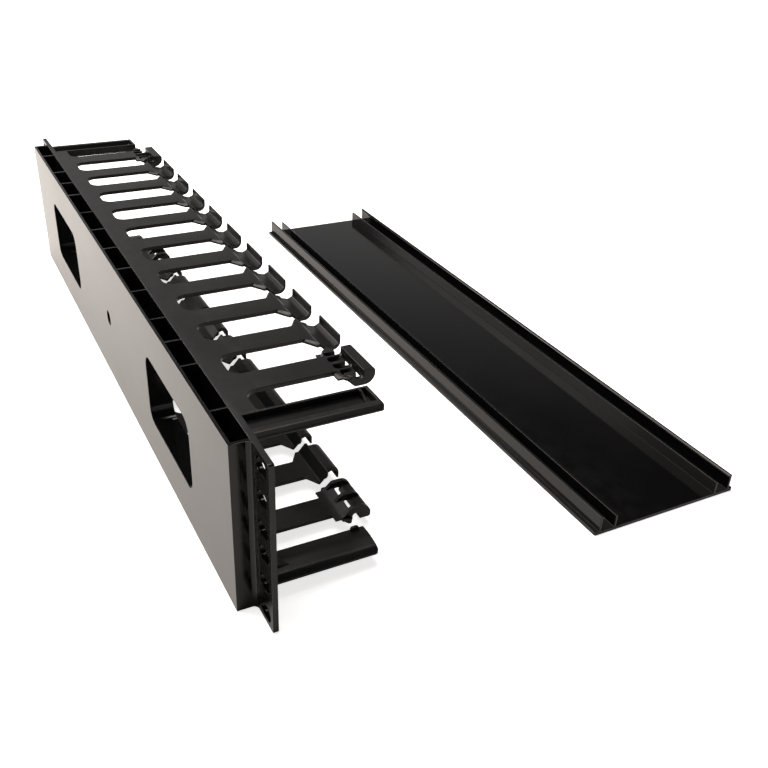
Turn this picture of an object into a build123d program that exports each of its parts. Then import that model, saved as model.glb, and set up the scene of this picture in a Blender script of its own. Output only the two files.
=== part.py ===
from build123d import *
import os

# Two-unit cable management panel for a 19-inch rack, with its clip-on cover lying in front of it.
# X runs along the rack width, -Y is the side that faces the room, +Z is up.
# The origin is the centre of the plane in which the ears bear on the rack rails.
# Left and right are as seen from the room. All lengths are in millimetres.

# Rack standard
ear_span = 482.6
panel_height = 88.0
slot_column_inset = 8.75
slot_row_insets = (5.9, 21.775)
inner_row_spacing = 12.7
rack_slot_length = 12.0
rack_slot_width = 6.8

# Back box: a shallow tray open at its top and bottom, with ribs between its two walls
ear_width = 19.3
box_depth = 9.5
front_wall = 3.0
rear_wall = 1.6
end_wall = 2.0
rib_wall = 1.2
rib_shares = (0.0, 0.145, 0.289, 0.451, 0.569, 0.685, 0.874)
ear_blend = 2.5
ear_corner = 1.0
window_width = 75.0
window_height = 40.0
window_share = 0.565
window_corner = 8.0
window_wall = 1.6
key_hole_diameter = 9.0

# Combs: the upper one is level with the box's top edge, and its mirror image sits a little
# above the box's bottom edge
finger_count = 11
plate = 2.2
lower_comb_rise = 4.5
end_slot_inset = 6.72
slot_width = 20.0
slot_rear = 10.5
slot_round = 6.0
slot_straight = 1.5
neck_end = 53.0
head_gap = 4.96
shoulder_depth = 4.7
shoulder_bevel = 1.4
head_front = 64.3
head_corner = 1.0

# Hooked tip of a plain finger
tip_front = 71.4
tip_side_step = 3.2
tip_rise = 0.6
tip_wall = 1.1
tip_round = 4.2
trough_start = 1.0
trough_fall = 2.8
trough_shelf = 2.8
trough_depth = 4.8
fin_foot = 2.6
fin_foot_rise = 1.3
trough_round = 2.0
lip_bottom = 7.0
lip_start = 1.8
lip_slope = 4.2
knee_round = 1.0

# Hinge hooks on the first and last finger of each comb
hinge_front = 72.2
hinge_side_step = 2.4
hinge_bar = 5.9
hinge_bar_height = 5.2
bar_edge = 0.8
bar_bevel = 1.6
pocket_rear = 55.4
pocket_count = 4
pocket_rib = 1.3
pocket_corner_share = 0.43
outer_pocket_step = 0.6
pocket_depth = 1.4
web = 1.2
web_fall = 3.8
knuckle_width = 2.4
knuckle_count = 3
knuckle_bottom = 7.1
knuckle_round = 5.4
knuckle_heel = 2.0
knuckle_rear = 0.7
throat_rear = 62.4
throat_depth = 3.3
throat_round = 1.4

# End trays, which round the cables out of the duct
tray_outer_inset = 2.3
tray_width = 18.5
tray_front = 62.0
tray_depth = 5.6
tray_floor = 2.0
tray_wall = 1.5
tray_rim = 5.4
tray_rim_slope = 1.8
tray_crown = 0.5
tray_crown_place = 8.0
tray_nose_rise = 2.5
tray_nose_run = 3.4
tray_nose_over = 1.0
tray_rim_run = 2.4
tray_roll = (1.0, 20.0, 6.0, 1.0, 1.8)
tray_root = 1.0
tray_corner = 1.5
gusset_length = 24.0
gusset_height = 4.6
stop_rear = 54.6
stop_length = 4.4
stop_height = 1.8
stop_round = 1.4
stay_place = 57.1
stay_wall = 1.0
stay_top = 3.6
stay_foot = 9.4

# Cover, inside up on the table in front of the panel
cover_overhang = 2.0
cover_edge = 2.55
cover_plate = 2.0
cover_shift = -22.8
cover_gap = 96.7
cover_rib = 1.3
outer_rib_height = 9.0
inner_rib_height = 7.0
hook_clearance = 0.3
bead_height = 1.6
bead_depth = 0.8
cover_corner = 1.0

# Places worked out from the sizes above
half_height = panel_height / 2
box_width = ear_span - 2 * ear_width
slot_column = ear_span / 2 - slot_column_inset
slot_rows = [inner_row_spacing / 2] + [half_height - inset for inset in slot_row_insets]
rib_places = [share * box_width / 2 for share in rib_shares]
window_centre = window_share * box_width / 2
ear_face = front_wall
plate_under = half_height - plate
rail_front = slot_rear + slot_round + slot_straight
tray_outer = box_width / 2 - tray_outer_inset
tray_inner = tray_outer - tray_width
finger_pitch = 2 * (tray_inner - end_slot_inset) / finger_count
neck_width = finger_pitch - slot_width
head_width = finger_pitch - head_gap
tip_width = head_width - 2 * tip_side_step
hinge_width = head_width - 2 * hinge_side_step
shoulder_end = neck_end + shoulder_depth
tip_level = half_height + tip_rise
trough_level = half_height - trough_depth
shelf_level = half_height - trough_shelf
lip_level = half_height - lip_bottom
slot_places = [(finger_count / 2 - k) * finger_pitch for k in range(finger_count + 1)]
finger_places = [((finger_count - 1) / 2 - k) * finger_pitch for k in range(finger_count)]
comb_half = half_height - lower_comb_rise / 2
channel_outer = comb_half + tip_rise + hook_clearance
channel_width = max(lip_bottom, knuckle_bottom) + tip_rise + 2 * hook_clearance
channel_inner = channel_outer - channel_width
cover_length = box_width + 2 * cover_overhang
cover_width = 2 * (channel_outer + cover_rib + cover_edge)
cover_centre = -(hinge_front + cover_gap + cover_width / 2)
same_place = 0.01

os.makedirs("parts", exist_ok=True)


def save(part, name):
    """Labels one finished piece and writes it."""
    part.label = name
    export_step(part, f"parts/{name}.step")


def both_combs(upper, name, side=""):
    """Writes a piece of the upper comb and its mirror image in the lower comb."""
    with BuildPart() as lower:
        mirror(upper, about=Plane.XY.offset(lower_comb_rise / 2))
    save(upper, f"upper_{name}{side}")
    save(lower.part, f"lower_{name}{side}")


def plan_outline(width, front):
    """Plan of a finger: straight neck, sloped shoulders, wide head, narrower tip."""
    with BuildSketch(Plane.XY) as plan:
        with BuildLine():
            right = Polyline(
                (0, -rail_front),
                (neck_width / 2, -rail_front),
                (neck_width / 2, -neck_end),
                (head_width / 2, -shoulder_end),
                (head_width / 2, -front + head_corner),
                (head_width / 2 - head_corner, -front),
                (width / 2, -front),
                (width / 2, -hinge_front),
                (0, -hinge_front),
            )
            mirror(right, about=Plane.YZ)
        make_face()
    return plan.sketch


# Back box with its ears, ribs, windows and rack slots
with BuildPart() as back_box:
    with BuildSketch(Plane.XZ):
        RectangleRounded(ear_span, panel_height, ear_corner)
    extrude(amount=front_wall)
    with BuildSketch(Plane.XZ.offset(-box_depth)):
        Rectangle(box_width, panel_height)
    extrude(amount=rear_wall)
    with BuildSketch(Plane.XZ.offset(-box_depth)):
        for side in (-1, 1):
            with Locations((side * (box_width - end_wall) / 2, 0)):
                Rectangle(end_wall, panel_height)
            for place in rib_places:
                with Locations((side * place, 0)):
                    Rectangle(rib_wall, panel_height)
            with Locations((side * window_centre, 0)):
                RectangleRounded(
                    window_width + 2 * window_wall,
                    window_height + 2 * window_wall,
                    window_corner + window_wall,
                )
    extrude(amount=box_depth)
    with BuildSketch(Plane.XZ.offset(-box_depth)):
        for side in (-1, 1):
            with Locations((side * window_centre, 0)):
                RectangleRounded(window_width, window_height, window_corner)
    extrude(amount=box_depth + front_wall, mode=Mode.SUBTRACT)
    with BuildSketch(Plane.XZ.offset(-box_depth)):
        Circle(key_hole_diameter / 2)
    extrude(amount=rear_wall, mode=Mode.SUBTRACT)
    with BuildSketch(Plane.XZ):
        for side in (-1, 1):
            for row in slot_rows:
                with Locations(
                    (side * slot_column, row),
                    (side * slot_column, -row),
                ):
                    SlotOverall(rack_slot_length, rack_slot_width)
    extrude(amount=front_wall, mode=Mode.SUBTRACT)
    ear_roots = [
        edge
        for edge in back_box.edges().filter_by(Axis.Z)
        if abs(abs(edge.center().X) - box_width / 2) < same_place and abs(edge.center().Y) < same_place
    ]
    fillet(ear_roots, ear_blend)
save(back_box.part, "back_box")

# Comb rail: the strip from which the fingers stand out, notched by the rear ends of the slots
with BuildPart() as rail:
    with BuildSketch(Plane.XY.offset(plate_under)):
        with Locations((0, -(ear_face + rail_front) / 2)):
            Rectangle(2 * tray_inner, rail_front - ear_face)
        for place in slot_places:
            with Locations((place, -rail_front)):
                RectangleRounded(slot_width, 2 * (rail_front - slot_rear), slot_round, mode=Mode.SUBTRACT)
    extrude(amount=plate)
both_combs(rail.part, "comb_rail")


def bevel_shoulders(part):
    """Takes the sharp top edge off the two sloped shoulders of a finger, where cables bend."""
    shoulders = [
        edge
        for edge in part.edges()
        if abs(edge.center().Z - half_height) < same_place
        and neck_end < -edge.center().Y < shoulder_end
        and abs(edge.tangent_at(0.5).X) > same_place
        and abs(edge.tangent_at(0.5).Y) > same_place
    ]
    chamfer(shoulders, shoulder_bevel)


# Plain fingers: flat neck and head, then a trough that rises to a thin fin for the cover
for number, place in enumerate(finger_places[1:-1], start=2):
    with BuildPart() as finger:
        with BuildSketch(Plane.XY.offset(lip_level - plate)):
            with Locations((place, 0)):
                add(plan_outline(tip_width, head_front))
        extrude(amount=lip_bottom + plate)
        bevel_shoulders(finger)
        with BuildSketch(Plane.XY.offset(half_height)):
            with Locations((place, -(head_front + tip_front) / 2)):
                Rectangle(tip_width, tip_front - head_front)
        extrude(amount=tip_rise)
        with BuildSketch(Plane.YZ.offset(place - finger_pitch / 2)):
            with BuildLine():
                upper_path = FilletPolyline(
                    (-rail_front, half_height),
                    (-shoulder_end - trough_start, half_height),
                    (-shoulder_end - trough_start - trough_fall, shelf_level),
                    (-tip_front + tip_wall + fin_foot, trough_level),
                    (-tip_front + tip_wall, trough_level + fin_foot_rise),
                    (-tip_front + tip_wall, tip_level),
                    radius=[knee_round, knee_round, trough_round, knee_round],
                )
                lower_path = FilletPolyline(
                    (-tip_front, tip_level),
                    (-tip_front, lip_level),
                    (-shoulder_end - lip_start - lip_slope, lip_level),
                    (-shoulder_end - lip_start, plate_under),
                    (-rail_front, plate_under),
                    radius=[tip_round, knee_round, knee_round],
                )
                Line(upper_path @ 1, lower_path @ 0)
                Line(lower_path @ 1, upper_path @ 0)
            make_face()
        extrude(amount=finger_pitch, mode=Mode.INTERSECT)
    both_combs(finger.part, "finger_", f"{number:02d}")

# Hinge fingers: the head is cut into pockets between thin ribs, and three knuckles reach round
# to a thick bar for the cover to turn on
for side, place in (("right", finger_places[0]), ("left", finger_places[-1])):
    knuckle_level = half_height - knuckle_bottom
    knuckle_step = (hinge_width - knuckle_width) / (knuckle_count - 1)
    pocket_pitch = hinge_width / pocket_count
    pocket_width = pocket_pitch - pocket_rib
    pocket_corner = pocket_corner_share * pocket_width
    pocket_length = 2 * (hinge_front - pocket_rear)
    bar_back = -hinge_front + hinge_bar
    web_front = -throat_rear + throat_round / 2
    pocket_floor = half_height - pocket_depth
    throat_level = half_height - throat_depth
    with BuildPart() as hinge_finger:
        with BuildSketch(Plane.XY.offset(plate_under)):
            with Locations((place, 0)):
                add(plan_outline(hinge_width, throat_rear - head_corner))
            with Locations((place, -hinge_front)):
                Rectangle(head_width, 2 * (hinge_front - throat_rear), mode=Mode.SUBTRACT)
        extrude(amount=plate)
        bevel_shoulders(hinge_finger)
        with BuildSketch(Plane.XY.offset(plate_under)):
            for k in range(pocket_count):
                middle = place + (k + 0.5) * pocket_pitch - hinge_width / 2
                outermost = k in (0, pocket_count - 1)
                length = pocket_length - 2 * outer_pocket_step * outermost
                with Locations((middle, -hinge_front)):
                    RectangleRounded(pocket_width, length, pocket_corner)
        extrude(amount=plate, mode=Mode.SUBTRACT)
        with BuildSketch(Plane.YZ.offset(place - hinge_width / 2)):
            with BuildLine():
                Polyline(
                    (-pocket_rear + pocket_corner, pocket_floor),
                    (-pocket_rear, pocket_floor),
                    (web_front, half_height - web_fall),
                    (web_front, half_height - web_fall - web),
                    (-pocket_rear - web / 2, plate_under),
                    (-pocket_rear + pocket_corner, plate_under),
                    close=True,
                )
            make_face()
        extrude(amount=hinge_width)
        for k in range(1, pocket_count):
            middle = place + k * pocket_pitch - hinge_width / 2
            with BuildSketch(Plane.YZ.offset(middle - pocket_rib / 2)):
                with BuildLine():
                    Polyline(
                        (-pocket_rear, half_height),
                        (-throat_rear, half_height),
                        (-throat_rear, throat_level),
                        (web_front, half_height - web_fall - web / 2),
                        (-pocket_rear, plate_under + web / 4),
                        close=True,
                    )
                make_face()
            extrude(amount=pocket_rib)
        with BuildSketch(Plane.YZ.offset(place - hinge_width / 2)):
            with BuildLine():
                Polyline(
                    (bar_back, tip_level),
                    (-hinge_front + bar_edge, tip_level),
                    (-hinge_front, tip_level - bar_edge),
                    (-hinge_front, tip_level - hinge_bar_height + bar_bevel),
                    (-hinge_front + bar_bevel, tip_level - hinge_bar_height),
                    (bar_back, tip_level - hinge_bar_height),
                    close=True,
                )
            make_face()
        extrude(amount=hinge_width)
        for k in range(knuckle_count):
            start = place - hinge_width / 2 + k * knuckle_step
            with BuildSketch(Plane.YZ.offset(start)):
                with BuildLine():
                    outer = FilletPolyline(
                        (-hinge_front, tip_level - bar_edge),
                        (-hinge_front, knuckle_level),
                        (-shoulder_end - lip_slope, knuckle_level),
                        (-shoulder_end + knuckle_rear, plate_under),
                        radius=[knuckle_round, knuckle_heel],
                    )
                    inner = FilletPolyline(
                        (-shoulder_end + knuckle_rear, half_height),
                        (-throat_rear, half_height),
                        (-throat_rear, throat_level),
                        (bar_back, throat_level),
                        (bar_back, tip_level - bar_edge),
                        radius=[bar_edge, throat_round, throat_round],
                    )
                    Line(outer @ 1, inner @ 0)
                    Line(inner @ 1, outer @ 0)
                make_face()
            extrude(amount=knuckle_width)
    both_combs(hinge_finger.part, "hinge_finger_", side)

# End trays: a shallow trough beside the outermost slot with a broad rounded rim, deeper at its root
for side, sign in (("right", 1), ("left", -1)):
    tray_under = half_height - tray_depth
    floor_level = tray_under + tray_floor
    gusset_top = tray_under + 2 * tray_crown
    with BuildPart() as tray:
        with BuildSketch(Plane.XZ.offset(ear_face)):
            with BuildLine():
                skin = FilletPolyline(
                    (sign * tray_inner, half_height),
                    (sign * tray_inner, tray_under + tray_crown),
                    (sign * (tray_inner + tray_crown_place), tray_under),
                    (sign * (tray_outer - tray_nose_run), tray_under + 2 * tray_crown),
                    (sign * (tray_outer + tray_nose_over), tray_under + 2 * tray_crown + tray_nose_rise),
                    (sign * (tray_outer - tray_rim_run), half_height),
                    (sign * (tray_outer - tray_rim), half_height),
                    radius=tray_roll,
                )
                Line(skin @ 1, skin @ 0)
            make_face()
        extrude(amount=tray_front - ear_face)
        with BuildSketch(Plane.XZ.offset(ear_face)):
            with BuildLine():
                hollow = FilletPolyline(
                    (sign * (tray_inner + tray_wall), half_height),
                    (sign * (tray_inner + tray_wall), floor_level),
                    (sign * (tray_outer - tray_rim - tray_rim_slope), floor_level),
                    (sign * (tray_outer - tray_rim), half_height),
                    radius=[tray_root / 2, tray_rim_slope],
                )
                Line(hollow @ 1, hollow @ 0)
            make_face()
        extrude(amount=tray_front - ear_face - tray_wall, mode=Mode.SUBTRACT)
        with BuildSketch(Plane.XY.offset(tray_under)):
            with BuildLine():
                Polyline(
                    (sign * (tray_outer - tray_corner), -tray_front),
                    (sign * tray_outer, -tray_front + tray_corner),
                    (sign * (tray_outer + tray_corner), -tray_front - tray_corner),
                    close=True,
                )
            make_face()
        extrude(amount=tray_depth, mode=Mode.SUBTRACT)
        with BuildSketch(Plane.XZ.offset(stay_place)):
            with BuildLine():
                Polyline(
                    (sign * (tray_inner + tray_root), half_height),
                    (sign * (tray_inner + stay_top), half_height),
                    (sign * (tray_inner + stay_foot), floor_level),
                    (sign * (tray_inner + stay_foot), floor_level - tray_floor / 2),
                    (sign * (tray_inner + tray_root), floor_level - tray_floor / 2),
                    close=True,
                )
            make_face()
        extrude(amount=stay_wall)
        gusset_side = sorted((sign * (tray_inner + tray_root), sign * (tray_outer - 2 * tray_nose_run)))
        with BuildSketch(Plane.YZ.offset(gusset_side[0])):
            with BuildLine():
                Polyline(
                    (-ear_face - gusset_length, gusset_top),
                    (-ear_face, gusset_top),
                    (-ear_face, tray_under - gusset_height),
                )
                TangentArc(
                    (-ear_face - gusset_length, gusset_top),
                    (-ear_face, tray_under - gusset_height),
                    tangent=(1, 0),
                )
            make_face()
        extrude(amount=gusset_side[1] - gusset_side[0])
        stop_side = sorted((sign * (tray_inner + tray_root), sign * (tray_inner + tray_root + tray_wall)))
        with BuildSketch(Plane.YZ.offset(stop_side[0])):
            with BuildLine():
                FilletPolyline(
                    (-stop_rear, gusset_top),
                    (-stop_rear, tray_under - stop_height),
                    (-stop_rear - stop_length, tray_under - stop_height),
                    (-stop_rear - stop_length, gusset_top),
                    radius=[stop_round, stop_round],
                )
                Line((-stop_rear - stop_length, gusset_top), (-stop_rear, gusset_top))
            make_face()
        extrude(amount=stop_side[1] - stop_side[0])
    both_combs(tray.part, "end_tray_", side)

# Cover: a flat plate with an outer and an inner rib along each long edge
with BuildPart() as cover:
    cover_floor = -half_height
    with BuildSketch(Plane.XY.offset(cover_floor)):
        with Locations((cover_shift, cover_centre)):
            RectangleRounded(cover_length, cover_width, cover_corner)
    extrude(amount=cover_plate)
    for sign in (-1, 1):
        with BuildSketch(Plane.XY.offset(cover_floor + cover_plate)):
            with Locations((cover_shift, cover_centre + sign * (channel_outer + cover_rib / 2))):
                Rectangle(cover_length, cover_rib)
        extrude(amount=outer_rib_height)
        with BuildSketch(Plane.XY.offset(cover_floor + cover_plate)):
            with Locations((cover_shift, cover_centre + sign * (channel_inner - cover_rib / 2))):
                Rectangle(cover_length, cover_rib)
        extrude(amount=inner_rib_height)
        bead_top = cover_floor + cover_plate + outer_rib_height
        rib_face = cover_centre + sign * channel_outer
        with BuildSketch(Plane.YZ.offset(cover_shift - cover_length / 2)):
            with BuildLine():
                Polyline(
                    (rib_face, bead_top),
                    (rib_face - sign * bead_depth, bead_top - bead_height / 2),
                    (rib_face, bead_top - bead_height),
                    close=True,
                )
            make_face()
        extrude(amount=cover_length)
save(cover.part, "cover")
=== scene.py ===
"""Cable management panel: finishes, moulding details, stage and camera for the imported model."""

import math

import bmesh
import bpy
import numpy as np
from mathutils import Matrix, Vector


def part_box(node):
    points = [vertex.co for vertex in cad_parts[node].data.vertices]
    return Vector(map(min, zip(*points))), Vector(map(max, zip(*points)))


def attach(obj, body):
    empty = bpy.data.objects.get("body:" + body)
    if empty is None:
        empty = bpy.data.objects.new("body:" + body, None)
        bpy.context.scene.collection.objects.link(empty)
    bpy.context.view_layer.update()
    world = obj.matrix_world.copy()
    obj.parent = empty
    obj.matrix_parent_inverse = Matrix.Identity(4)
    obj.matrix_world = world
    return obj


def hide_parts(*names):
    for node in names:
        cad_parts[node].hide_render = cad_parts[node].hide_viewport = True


bl_info = {
    "name": "Cable Management Panel",
    "version": (1, 0, 0),
    "blender": (4, 5, 0),
    "location": "3D View > Sidebar > Cable Panel",
    "description": "Dresses a two-unit cable management panel and sets it on a studio floor",
    "category": "Object",
}

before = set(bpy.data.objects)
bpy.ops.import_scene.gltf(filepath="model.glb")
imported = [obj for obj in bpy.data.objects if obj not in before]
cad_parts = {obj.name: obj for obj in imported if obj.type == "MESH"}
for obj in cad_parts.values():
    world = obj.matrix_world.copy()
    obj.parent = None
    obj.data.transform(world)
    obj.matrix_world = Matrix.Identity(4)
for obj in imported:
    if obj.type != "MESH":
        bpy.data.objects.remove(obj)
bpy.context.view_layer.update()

GLOSS_NODES = ("back_box", "cover")
SATIN_NODES = sorted(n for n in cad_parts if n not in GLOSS_NODES)
FLOOR_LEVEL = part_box("cover")[0][2]

# Lengths in metres. The comb rail meets the box and the fingers on its rear and front faces.
SHARP_ANGLE = math.radians(32)
FLAT_ANGLE = math.radians(0.5)
SAME_POINT = 2e-6
SAME_PLANE = 1e-5
JOINT_PLANES = (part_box("upper_comb_rail")[1][1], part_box("upper_comb_rail")[0][1])
EAR_RAMP_START = 0.0028
EAR_RAMP_LENGTH = 0.001

# Room for a rounding: cosines of the turn from one edge to the next, and the next edge's length in radii.
STRAIGHT_ON = -0.7
FOLDED_BACK = 0.8
ROOM_IN_RADII = 2.2

# Soft lamps: name, place, target, side in metres and power in watts
LAMPS = (
    ("behind", (0.70, 0.60, 1.05), (0.05, 0.05, 0.0), 1.0, 11.0),
    ("overhead", (0.42, 0.12, 1.6), (0.05, 0.0, 0.0), 1.4, 35.0),
    ("window", (1.50, 0.95, 0.80), (0.0, 0.0, 0.0), 0.8, 9.0),
)

# The room round the stage: its pale band, its dark upper part and the heights between which one turns to the other
ROOM_BAND = (0.50, 0.495, 0.49)
ROOM_TOP = (0.02, 0.02, 0.021)
ROOM_BAND_END = 0.28
ROOM_TOP_START = 0.54


# Node helpers


def add_node(tree, kind, at=(0, 0), **values):
    """Adds a node, sets its properties and returns it."""
    node = tree.nodes.new(kind)
    node.location = at
    for name, value in values.items():
        setattr(node, name, value)
    return node


def start_group(name, inputs, outputs):
    """Makes an empty node group with its sockets; inputs are (name, default, lowest, highest)."""
    group = bpy.data.node_groups.new(name, "ShaderNodeTree")
    for label, default, low, high in inputs:
        socket = group.interface.new_socket(label, in_out="INPUT", socket_type="NodeSocketFloat")
        socket.default_value = default
        socket.min_value = low
        socket.max_value = high
    for label, kind in outputs:
        group.interface.new_socket(label, in_out="OUTPUT", socket_type=kind)
    return group, add_node(group, "NodeGroupInput", (-900, 0)), add_node(group, "NodeGroupOutput", (700, 0))


def math_node(tree, operation, first, second, at=(0, 0), clamp=False):
    """Joins two sockets or numbers with one arithmetic operation."""
    node = add_node(tree, "ShaderNodeMath", at, operation=operation, use_clamp=clamp)
    for socket, value in zip(node.inputs, (first, second)):
        if isinstance(value, (int, float)):
            socket.default_value = value
        else:
            tree.links.new(value, socket)
    return node.outputs[0]


def object_noise(tree, scale, detail, roughness, at):
    """Fractal noise on object coordinates; scale is a number or a socket."""
    where = add_node(tree, "ShaderNodeTexCoord", (at[0] - 400, at[1]))
    noise = add_node(tree, "ShaderNodeTexNoise", at)
    tree.links.new(where.outputs["Object"], noise.inputs["Vector"])
    noise.inputs["Detail"].default_value = detail
    noise.inputs["Roughness"].default_value = roughness
    if isinstance(scale, (int, float)):
        noise.inputs["Scale"].default_value = scale
    else:
        tree.links.new(scale, noise.inputs["Scale"])
    return noise.outputs["Fac"]


def ramp(tree, value, low, high, at=(0, 0)):
    """Maps a value from low..high onto 0..1, clamped."""
    node = add_node(tree, "ShaderNodeMapRange", at, clamp=True)
    tree.links.new(value, node.inputs["Value"])
    node.inputs["From Min"].default_value = low
    node.inputs["From Max"].default_value = high
    return node.outputs["Result"]


# Effects shared by the two plastics


def moulded_skin_group():
    """Fine skin of moulded plastic: a height from two sizes of noise, a broad one and a fine one."""
    group, given, result = start_group(
        "moulded_skin",
        [("Grain Scale", 900.0, 1.0, 5000.0), ("Ripple Scale", 18.0, 0.1, 500.0), ("Ripple Share", 0.5, 0.0, 1.0)],
        [("Height", "NodeSocketFloat")],
    )
    grain = object_noise(group, given.outputs["Grain Scale"], 3.0, 0.6, (-400, 200))
    ripple = object_noise(group, given.outputs["Ripple Scale"], 1.0, 0.4, (-400, -100))
    blend = add_node(group, "ShaderNodeMix", (0, 0), data_type="FLOAT")
    group.links.new(given.outputs["Ripple Share"], blend.inputs["Factor"])
    group.links.new(grain, blend.inputs["A"])
    group.links.new(ripple, blend.inputs["B"])
    group.links.new(blend.outputs["Result"], result.inputs["Height"])
    return group


def handling_marks_group():
    """Dull patches and fine dust left by handling: masks from broad noise and from scattered specks."""
    group, given, result = start_group(
        "handling_marks",
        [("Patch Scale", 22.0, 0.1, 500.0), ("Dust Scale", 700.0, 1.0, 5000.0), ("Dust Amount", 0.3, 0.0, 1.0)],
        [("Patches", "NodeSocketFloat"), ("Dust", "NodeSocketFloat")],
    )
    broad = object_noise(group, given.outputs["Patch Scale"], 4.0, 0.65, (-400, 200))
    patches = ramp(group, broad, 0.42, 0.72, (0, 200))
    specks = object_noise(group, given.outputs["Dust Scale"], 2.0, 0.7, (-400, -150))
    speck_mask = ramp(group, specks, 0.66, 0.78, (0, -150))
    dusty = math_node(group, "MULTIPLY", speck_mask, given.outputs["Dust Amount"], (250, -150), True)
    group.links.new(patches, result.inputs["Patches"])
    group.links.new(dusty, result.inputs["Dust"])
    return group


def worn_highlit_edge_group():
    """Rubbed wear and a painted highlight along edges: convex edges stand out in Geometry's pointiness, broken up by
    noise.
    """
    group, given, result = start_group(
        "worn_highlit_edge",
        [("Start", 0.52, 0.0, 1.0), ("End", 0.62, 0.0, 1.0), ("Break Up", 120.0, 0.1, 2000.0)],
        [("Edge", "NodeSocketFloat")],
    )
    shape = add_node(group, "ShaderNodeNewGeometry", (-600, 200))
    limits = add_node(group, "ShaderNodeMapRange", (-300, 200), clamp=True)
    group.links.new(shape.outputs["Pointiness"], limits.inputs["Value"])
    group.links.new(given.outputs["Start"], limits.inputs["From Min"])
    group.links.new(given.outputs["End"], limits.inputs["From Max"])
    noise = object_noise(group, given.outputs["Break Up"], 3.0, 0.6, (-300, -150))
    broken = ramp(group, noise, 0.3, 0.6, (0, -150))
    edge = math_node(group, "MULTIPLY", limits.outputs["Result"], broken, (250, 0), True)
    group.links.new(edge, result.inputs["Edge"])
    return group


def satin_rim_group():
    """The satin top and bottom of the box's front wall: a mask from height and depth in the panel's frame."""
    group, given, result = start_group(
        "satin_rim",
        [("Level", 0.0439, 0.0, 1.0), ("Depth", -0.0014, -1.0, 1.0), ("Reach", 0.0018, 0.0, 1.0)],
        [("Mask", "NodeSocketFloat")],
    )
    where = add_node(group, "ShaderNodeTexCoord", (-700, 0))
    parts = add_node(group, "ShaderNodeSeparateXYZ", (-500, 0))
    group.links.new(where.outputs["Object"], parts.inputs["Vector"])
    height = math_node(group, "ABSOLUTE", parts.outputs["Z"], 0.0, (-300, 150))
    edge = math_node(group, "GREATER_THAN", height, given.outputs["Level"], (-100, 150))
    away = math_node(group, "SUBTRACT", parts.outputs["Y"], given.outputs["Depth"], (-300, -150))
    away = math_node(group, "ABSOLUTE", away, 0.0, (-100, -150))
    wall = math_node(group, "LESS_THAN", away, given.outputs["Reach"], (100, -150))
    mask = math_node(group, "MULTIPLY", edge, wall, (300, 0))
    group.links.new(mask, result.inputs["Mask"])
    return group


def shared_groups():
    """Builds each shared effect once and returns them by name."""
    made = {}
    for name, build in (
        ("moulded_skin", moulded_skin_group),
        ("handling_marks", handling_marks_group),
        ("worn_highlit_edge", worn_highlit_edge_group),
        ("satin_rim", satin_rim_group),
    ):
        made[name] = bpy.data.node_groups.get(name) or build()
    return made


def place_group(tree, name, at, **values):
    """Places a shared effect in a material with its own values."""
    node = add_node(tree, "ShaderNodeGroup", at, node_tree=shared_groups()[name])
    for label, value in values.items():
        node.inputs[label.replace("_", " ")].default_value = value
    return node


def black_plastic(name, finish):
    """Black moulded plastic. finish holds its colours, roughness, skin and marks."""
    material = bpy.data.materials.new(name)
    material.use_nodes = True
    tree = material.node_tree
    tree.nodes.clear()
    shader = add_node(tree, "ShaderNodeBsdfPrincipled", (500, 0))
    output = add_node(tree, "ShaderNodeOutputMaterial", (800, 0))
    tree.links.new(shader.outputs["BSDF"], output.inputs["Surface"])
    shader.inputs["IOR"].default_value = finish["ior"]

    marks = place_group(tree, "handling_marks", (-700, 200), **finish["marks"])
    # Edge mask: rubbed wear on convex edges, and a painted highlight along them
    edge_wear_and_highlight = place_group(tree, "worn_highlit_edge", (-700, -100), **finish["edge_wear_and_highlight"])
    skin = place_group(tree, "moulded_skin", (-700, -400), **finish["skin"])

    tone = add_node(tree, "ShaderNodeMix", (-300, 300), data_type="RGBA")
    tone.inputs["A"].default_value = (*finish["colour"], 1)
    tone.inputs["B"].default_value = (*finish["patch_colour"], 1)
    tree.links.new(marks.outputs["Patches"], tone.inputs["Factor"])
    # Convex edges turned lighter: partly rubbed wear, partly a painted highlight
    worn_highlit_tone = add_node(tree, "ShaderNodeMix", (-50, 300), data_type="RGBA")
    tree.links.new(tone.outputs["Result"], worn_highlit_tone.inputs["A"])
    worn_highlit_tone.inputs["B"].default_value = (*finish["edge_colour"], 1)
    tree.links.new(edge_wear_and_highlight.outputs["Edge"], worn_highlit_tone.inputs["Factor"])
    dusted = add_node(tree, "ShaderNodeMix", (200, 300), data_type="RGBA")
    tree.links.new(worn_highlit_tone.outputs["Result"], dusted.inputs["A"])
    dusted.inputs["B"].default_value = (*finish["dust_colour"], 1)
    tree.links.new(marks.outputs["Dust"], dusted.inputs["Factor"])
    tree.links.new(dusted.outputs["Result"], shader.inputs["Base Color"])

    duller = math_node(tree, "MULTIPLY", marks.outputs["Patches"], finish["patch_roughness"], (-300, 50))
    rough = math_node(tree, "ADD", duller, finish["roughness"], (-50, 50))
    dust_rough = math_node(tree, "MULTIPLY", marks.outputs["Dust"], 0.3, (-50, -120))
    rough = math_node(tree, "ADD", rough, dust_rough, (200, 50), True)
    if finish["rim_roughness"]:
        rim = place_group(tree, "satin_rim", (-50, -600))
        rim_rough = math_node(tree, "MULTIPLY", rim.outputs["Mask"], finish["rim_roughness"], (150, -600))
        rough = math_node(tree, "ADD", rough, rim_rough, (350, 50), True)
    tree.links.new(rough, shader.inputs["Roughness"])

    bump = add_node(tree, "ShaderNodeBump", (100, -300))
    bump.inputs["Strength"].default_value = finish["bump"]
    bump.inputs["Distance"].default_value = finish["bump_depth"]
    tree.links.new(skin.outputs["Height"], bump.inputs["Height"])
    tree.links.new(bump.outputs["Normal"], shader.inputs["Normal"])
    return material


# Pieces


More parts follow.
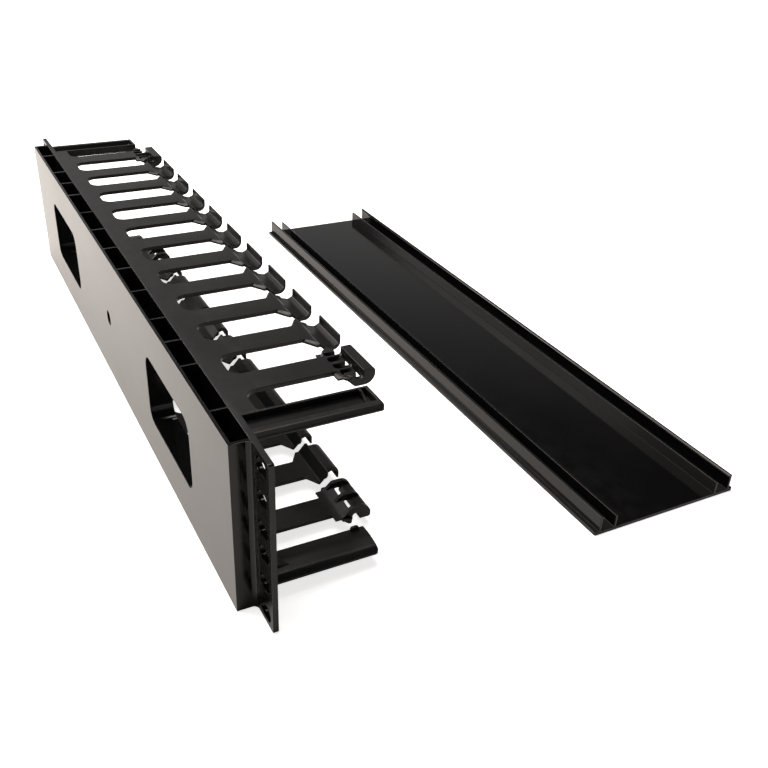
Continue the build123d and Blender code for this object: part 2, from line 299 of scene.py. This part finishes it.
def merged_copy(node_name):
    """Returns a copy of a CAD node's mesh with its loose triangles joined and its flat faces made whole."""
    shape = bmesh.new()
    shape.from_mesh(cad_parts[node_name].data)
    bmesh.ops.remove_doubles(shape, verts=shape.verts, dist=SAME_POINT)
    bmesh.ops.dissolve_limit(shape, angle_limit=FLAT_ANGLE, verts=shape.verts, edges=shape.edges)
    return shape


def thin_ears(shape, thickness):
    """Thins the ears from the front, with a short ramp beside the box."""
    low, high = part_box("lower_end_tray_left")[0][0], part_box("lower_end_tray_right")[1][0]
    for side, root in ((-1, low), (1, high)):
        ramp_start = root + side * EAR_RAMP_START
        ramp_end = ramp_start + side * EAR_RAMP_LENGTH
        for cut in (ramp_start, ramp_end):
            geometry = [*shape.verts, *shape.edges, *shape.faces]
            bmesh.ops.bisect_plane(shape, geom=geometry, plane_co=(cut, 0, 0), plane_no=(1, 0, 0), dist=1e-6)
        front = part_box("back_box")[0][1]
        for point in shape.verts:
            if side * (point.co.x - ramp_end) > -SAME_PLANE and point.co.y < front + 1e-4:
                point.co.y = -thickness


def has_room(edge, radius):
    """Tells whether a rounding of this radius fits beside the edge without running into its neighbours."""
    for point in edge.verts:
        along = (edge.other_vert(point).co - point.co).normalized()
        for other in point.link_edges:
            if other is edge:
                continue
            away = (other.other_vert(point).co - point.co).normalized()
            if along.dot(away) < STRAIGHT_ON:
                continue
            together = any(face in edge.link_faces for face in other.link_faces)
            if together and (along.dot(away) > FOLDED_BACK or other.calc_length() < ROOM_IN_RADII * radius):
                return False
    return True


def mark_sharp_edges(shape, radius):
    """Marks each sharp edge for rounding where there is room, but not where pieces of the one moulding meet."""
    weight = shape.edges.layers.float.new("bevel_weight_edge")
    for edge in shape.edges:
        if len(edge.link_faces) != 2 or edge.calc_face_angle(0.0) < SHARP_ANGLE:
            continue
        joint = any(all(abs(point.co.y - plane) < SAME_PLANE for point in edge.verts) for plane in JOINT_PLANES)
        edge[weight] = 1.0 if not joint and has_room(edge, radius) else 0.0


def finished_mesh(piece):
    """Returns the piece's mesh with its modifiers worked in."""
    bpy.context.view_layer.update()
    mesh = bpy.data.meshes.new_from_object(piece.evaluated_get(bpy.context.evaluated_depsgraph_get()))
    piece.modifiers.clear()
    return mesh


def softened(node_name, material, radius, shape=None):
    """Replaces a CAD node by a copy of it whose sharp edges are rounded, as a mould leaves them."""
    shape = shape or merged_copy(node_name)
    mark_sharp_edges(shape, radius)
    mesh = bpy.data.meshes.new("soft_" + node_name)
    shape.to_mesh(mesh)
    shape.free()
    piece = bpy.data.objects.new("soft_" + node_name, mesh)
    bpy.context.scene.collection.objects.link(piece)
    rounding = piece.modifiers.new("rounding", "BEVEL")
    rounding.width = radius
    rounding.segments = 2
    rounding.limit_method = "WEIGHT"
    rounding.use_clamp_overlap = False
    piece.data = finished_mesh(piece)
    piece.data.polygons.foreach_set("use_smooth", np.ones(len(piece.data.polygons), dtype=bool))
    piece.data.set_sharp_from_angle(angle=SHARP_ANGLE)
    flat_faces = piece.modifiers.new("flat_faces", "WEIGHTED_NORMAL")
    flat_faces.keep_sharp = True
    flat_faces.weight = 100
    piece.data = finished_mesh(piece)
    piece.data.materials.clear()
    piece.data.materials.append(material)
    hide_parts(node_name)
    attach(piece, "cover" if node_name == "cover" else "panel")
    return piece


# Sizes and colours that a user would change


class PlasticSettings(bpy.types.PropertyGroup):
    """Colours and gloss of the two black plastics."""

    gloss_colour: bpy.props.FloatVectorProperty(
        name="Gloss Colour",
        description="Base colour of the back box and the cover",
        subtype="COLOR",
        size=3,
        min=0.0,
        max=1.0,
        default=(0.0022, 0.0022, 0.0023),
    )
    gloss_roughness: bpy.props.FloatProperty(
        name="Gloss Roughness",
        description="Roughness of the polished faces",
        subtype="FACTOR",
        min=0.0,
        max=1.0,
        default=0.11,
    )
    satin_colour: bpy.props.FloatVectorProperty(
        name="Satin Colour",
        description="Base colour of the combs and end trays",
        subtype="COLOR",
        size=3,
        min=0.0,
        max=1.0,
        default=(0.0030, 0.0030, 0.0032),
    )
    satin_roughness: bpy.props.FloatProperty(
        name="Satin Roughness",
        description="Roughness of the combs and end trays",
        subtype="FACTOR",
        min=0.0,
        max=1.0,
        default=0.33,
    )
    edge_rounding: bpy.props.FloatProperty(
        name="Edge Rounding",
        description="Width of the rounding along moulded edges",
        subtype="DISTANCE",
        unit="LENGTH",
        default=0.00025,
        min=0.0,
    )
    ear_thickness: bpy.props.FloatProperty(
        name="Ear Thickness",
        description="Thickness of the two rack ears",
        subtype="DISTANCE",
        unit="LENGTH",
        default=0.0027,
        min=0.001,
    )


class StageSettings(bpy.types.PropertyGroup):
    """Floor, lights and camera."""

    floor_colour: bpy.props.FloatVectorProperty(
        name="Floor Colour",
        description="Colour of the plain pale floor",
        subtype="COLOR",
        size=3,
        min=0.0,
        max=1.0,
        default=(0.88, 0.875, 0.87),
    )
    lamp_colour: bpy.props.FloatVectorProperty(
        name="Lamp Colour",
        description="Colour of the soft lamps",
        subtype="COLOR",
        size=3,
        min=0.0,
        max=1.0,
        default=(1.0, 0.925, 0.86),
    )
    floor_glow: bpy.props.FloatProperty(
        name="Floor Glow",
        description="How much the lit table's own light evens out its shade",
        default=0.85,
        min=0.0,
        max=2.0,
    )
    floor_size: bpy.props.FloatProperty(
        name="Floor Size", description="Side of the square floor", subtype="DISTANCE", unit="LENGTH", default=14.0
    )
    camera_place: bpy.props.FloatVectorProperty(
        name="Camera Place",
        description="Where the camera stands in the panel's frame",
        subtype="TRANSLATION",
        unit="LENGTH",
        size=3,
        default=(-0.5203, 0.1020, 0.2520),
    )
    camera_heading: bpy.props.FloatProperty(
        name="Heading",
        description="Turn of the view about the vertical, from the +X axis",
        subtype="ANGLE",
        unit="ROTATION",
        default=math.radians(-28.4),
    )
    camera_pitch: bpy.props.FloatProperty(
        name="Pitch",
        description="How far the view looks down",
        subtype="ANGLE",
        unit="ROTATION",
        default=math.radians(30.0),
    )
    camera_roll: bpy.props.FloatProperty(
        name="Roll",
        description="Turn of the picture about the view axis",
        subtype="ANGLE",
        unit="ROTATION",
        default=math.radians(-2.4),
    )
    focal_share: bpy.props.FloatProperty(
        name="Focal Length Share",
        description="Focal length as a share of the picture's width",
        default=936.8 / 768.0,
        min=0.1,
    )


# Operators


class PANEL_OT_gloss_pieces(bpy.types.Operator):
    """Gives the back box and the cover their polished black plastic"""

    bl_idname = "cable_panel.gloss_pieces"
    bl_label = "Polished Plastic"

    def execute(self, context):
        look = context.scene.cable_panel_plastic
        material = black_plastic(
            "gloss_black",
            {
                "colour": look.gloss_colour,
                "patch_colour": [c * 1.2 for c in look.gloss_colour],
                # Lighter edge colour: rubbed wear and a painted highlight
                "edge_colour": (0.012, 0.012, 0.0125),
                "dust_colour": (0.03, 0.029, 0.028),
                "roughness": look.gloss_roughness,
                "patch_roughness": 0.05,
                "rim_roughness": look.satin_roughness - look.gloss_roughness,
                "ior": 1.38,
                "bump": 0.05,
                "bump_depth": 0.0001,
                "marks": {"Patch_Scale": 14.0, "Dust_Scale": 900.0, "Dust_Amount": 0.05},
                "edge_wear_and_highlight": {"Start": 0.53, "End": 0.66, "Break_Up": 90.0},
                "skin": {"Grain_Scale": 1400.0, "Ripple_Scale": 26.0, "Ripple_Share": 0.8},
            },
        )
        box = merged_copy("back_box")
        thin_ears(box, look.ear_thickness)
        softened("back_box", material, look.edge_rounding, box)
        softened("cover", material, look.edge_rounding)
        return {"FINISHED"}


class PANEL_OT_satin_pieces(bpy.types.Operator):
    """Gives the comb rails, fingers and end trays their satin black plastic"""

    bl_idname = "cable_panel.satin_pieces"
    bl_label = "Satin Plastic"

    def execute(self, context):
        look = context.scene.cable_panel_plastic
        material = black_plastic(
            "satin_black",
            {
                "colour": look.satin_colour,
                "patch_colour": [c * 1.3 for c in look.satin_colour],
                # Lighter edge colour: rubbed wear and a painted highlight
                "edge_colour": (0.014, 0.014, 0.0145),
                "dust_colour": (0.03, 0.0295, 0.029),
                "roughness": look.satin_roughness,
                "patch_roughness": 0.05,
                "rim_roughness": 0.0,
                "ior": 1.34,
                "bump": 0.2,
                "bump_depth": 0.00015,
                "marks": {"Patch_Scale": 30.0, "Dust_Scale": 650.0, "Dust_Amount": 0.12},
                "edge_wear_and_highlight": {"Start": 0.52, "End": 0.64, "Break_Up": 110.0},
                "skin": {"Grain_Scale": 1100.0, "Ripple_Scale": 40.0, "Ripple_Share": 0.25},
            },
        )
        for name in SATIN_NODES:
            softened(name, material, look.edge_rounding)
        return {"FINISHED"}


class PANEL_OT_stage(bpy.types.Operator):
    """Lays the pale floor and sets up the soft light and the camera"""

    bl_idname = "cable_panel.stage"
    bl_label = "Stage"

    def execute(self, context):
        scene = context.scene
        look = scene.cable_panel_stage
        self.floor(scene, look)
        self.world(scene)
        self.lights(scene, look)
        self.camera(scene, look)
        scene.view_settings.view_transform = "Standard"
        return {"FINISHED"}

    def floor(self, scene, look):
        """A square sheet just under the panel's lowest edge."""
        half = look.floor_size / 2
        mesh = bpy.data.meshes.new("floor")
        corners = [(-half, -half), (half, -half), (half, half), (-half, half)]
        mesh.from_pydata([(x, y, FLOOR_LEVEL - 0.0001) for x, y in corners], [], [(0, 1, 2, 3)])
        floor = bpy.data.objects.new("floor", mesh)
        scene.collection.objects.link(floor)
        material = bpy.data.materials.new("pale_floor")
        material.use_nodes = True
        shader = material.node_tree.nodes["Principled BSDF"]
        shader.inputs["Base Color"].default_value = (*look.floor_colour, 1)
        shader.inputs["Roughness"].default_value = 0.8
        shader.inputs["Specular IOR Level"].default_value = 0.1
        shader.inputs["Emission Color"].default_value = (*look.floor_colour, 1)
        seen = add_node(material.node_tree, "ShaderNodeLightPath", (-500, -300))
        glow = math_node(material.node_tree, "MULTIPLY", seen.outputs["Is Camera Ray"], look.floor_glow, (-250, -300))
        material.node_tree.links.new(glow, shader.inputs["Emission Strength"])
        mesh.materials.append(material)

    def world(self, scene):
        """A dim room: a pale band above the horizon, dark higher up."""
        world = bpy.data.worlds.new("studio")
        world.use_nodes = True
        scene.world = world
        tree = world.node_tree
        back = tree.nodes["Background"]
        where = add_node(tree, "ShaderNodeTexCoord", (-900, 0))
        parts = add_node(tree, "ShaderNodeSeparateXYZ", (-700, 0))
        tree.links.new(where.outputs["Generated"], parts.inputs["Vector"])
        climb = ramp(tree, parts.outputs["Z"], ROOM_BAND_END, ROOM_TOP_START, (-500, 0))
        shade = add_node(tree, "ShaderNodeMix", (-250, 0), data_type="RGBA")
        shade.inputs["A"].default_value = (*ROOM_BAND, 1)
        shade.inputs["B"].default_value = (*ROOM_TOP, 1)
        tree.links.new(climb, shade.inputs["Factor"])
        tree.links.new(shade.outputs["Result"], back.inputs["Color"])

    def lights(self, scene, look):
        """Large soft lamps: one above and behind the panel, one overhead and a low one that lights the edges."""
        for name, place, target, size, power in LAMPS:
            lamp = bpy.data.lights.new(name, "AREA")
            lamp.color = look.lamp_colour
            lamp.size = size
            lamp.energy = power
            holder = bpy.data.objects.new(name, lamp)
            holder.location = place
            holder.rotation_euler = (Vector(place) - Vector(target)).to_track_quat("Z", "Y").to_euler()
            scene.collection.objects.link(holder)

    def camera(self, scene, look):
        """The photograph's view: heading and pitch give the view axis, roll turns the picture about it."""
        forward = Vector(
            (
                math.cos(look.camera_pitch) * math.cos(look.camera_heading),
                math.cos(look.camera_pitch) * math.sin(look.camera_heading),
                -math.sin(look.camera_pitch),
            )
        )
        right = forward.cross(Vector((0, 0, 1))).normalized()
        down = forward.cross(right)
        c, s = math.cos(look.camera_roll), math.sin(look.camera_roll)
        across = c * right + s * down
        up = -(c * down - s * right)
        turn = Matrix((across, up, -forward)).transposed()
        data = bpy.data.cameras.new("photo_view")
        data.sensor_fit = "HORIZONTAL"
        data.sensor_width = 36.0
        data.lens = 36.0 * look.focal_share
        data.clip_start = 0.02
        data.clip_end = 50.0
        camera = bpy.data.objects.new("photo_view", data)
        camera.matrix_world = Matrix.Translation(Vector(look.camera_place)) @ turn.to_4x4()
        scene.collection.objects.link(camera)
        scene.camera = camera


class PANEL_PT_sidebar(bpy.types.Panel):
    """Lists the steps that dress the panel"""

    bl_idname = "PANEL_PT_cable_panel"
    bl_label = "Cable Panel"
    bl_space_type = "VIEW_3D"
    bl_region_type = "UI"
    bl_category = "Cable Panel"

    def draw(self, context):
        for step in STEPS:
            self.layout.operator(step.bl_idname)
        for settings in (context.scene.cable_panel_plastic, context.scene.cable_panel_stage):
            for name in settings.bl_rna.properties.keys():
                if name not in ("rna_type", "name"):
                    self.layout.prop(settings, name)


STEPS = (PANEL_OT_gloss_pieces, PANEL_OT_satin_pieces, PANEL_OT_stage)
SETTINGS = {"cable_panel_plastic": PlasticSettings, "cable_panel_stage": StageSettings}


def register():
    for settings in SETTINGS.values():
        bpy.utils.register_class(settings)
    for name, settings in SETTINGS.items():
        setattr(bpy.types.Scene, name, bpy.props.PointerProperty(type=settings))
    for step in (*STEPS, PANEL_PT_sidebar):
        bpy.utils.register_class(step)


def unregister():
    for step in reversed((*STEPS, PANEL_PT_sidebar)):
        bpy.utils.unregister_class(step)
    for name in SETTINGS:
        delattr(bpy.types.Scene, name)
    for settings in reversed(list(SETTINGS.values())):
        bpy.utils.unregister_class(settings)


def main():
    """Runs every step in order."""
    register()
    bpy.ops.cable_panel.gloss_pieces()
    bpy.ops.cable_panel.satin_pieces()
    bpy.ops.cable_panel.stage()


if __name__ == "__main__":
    main()
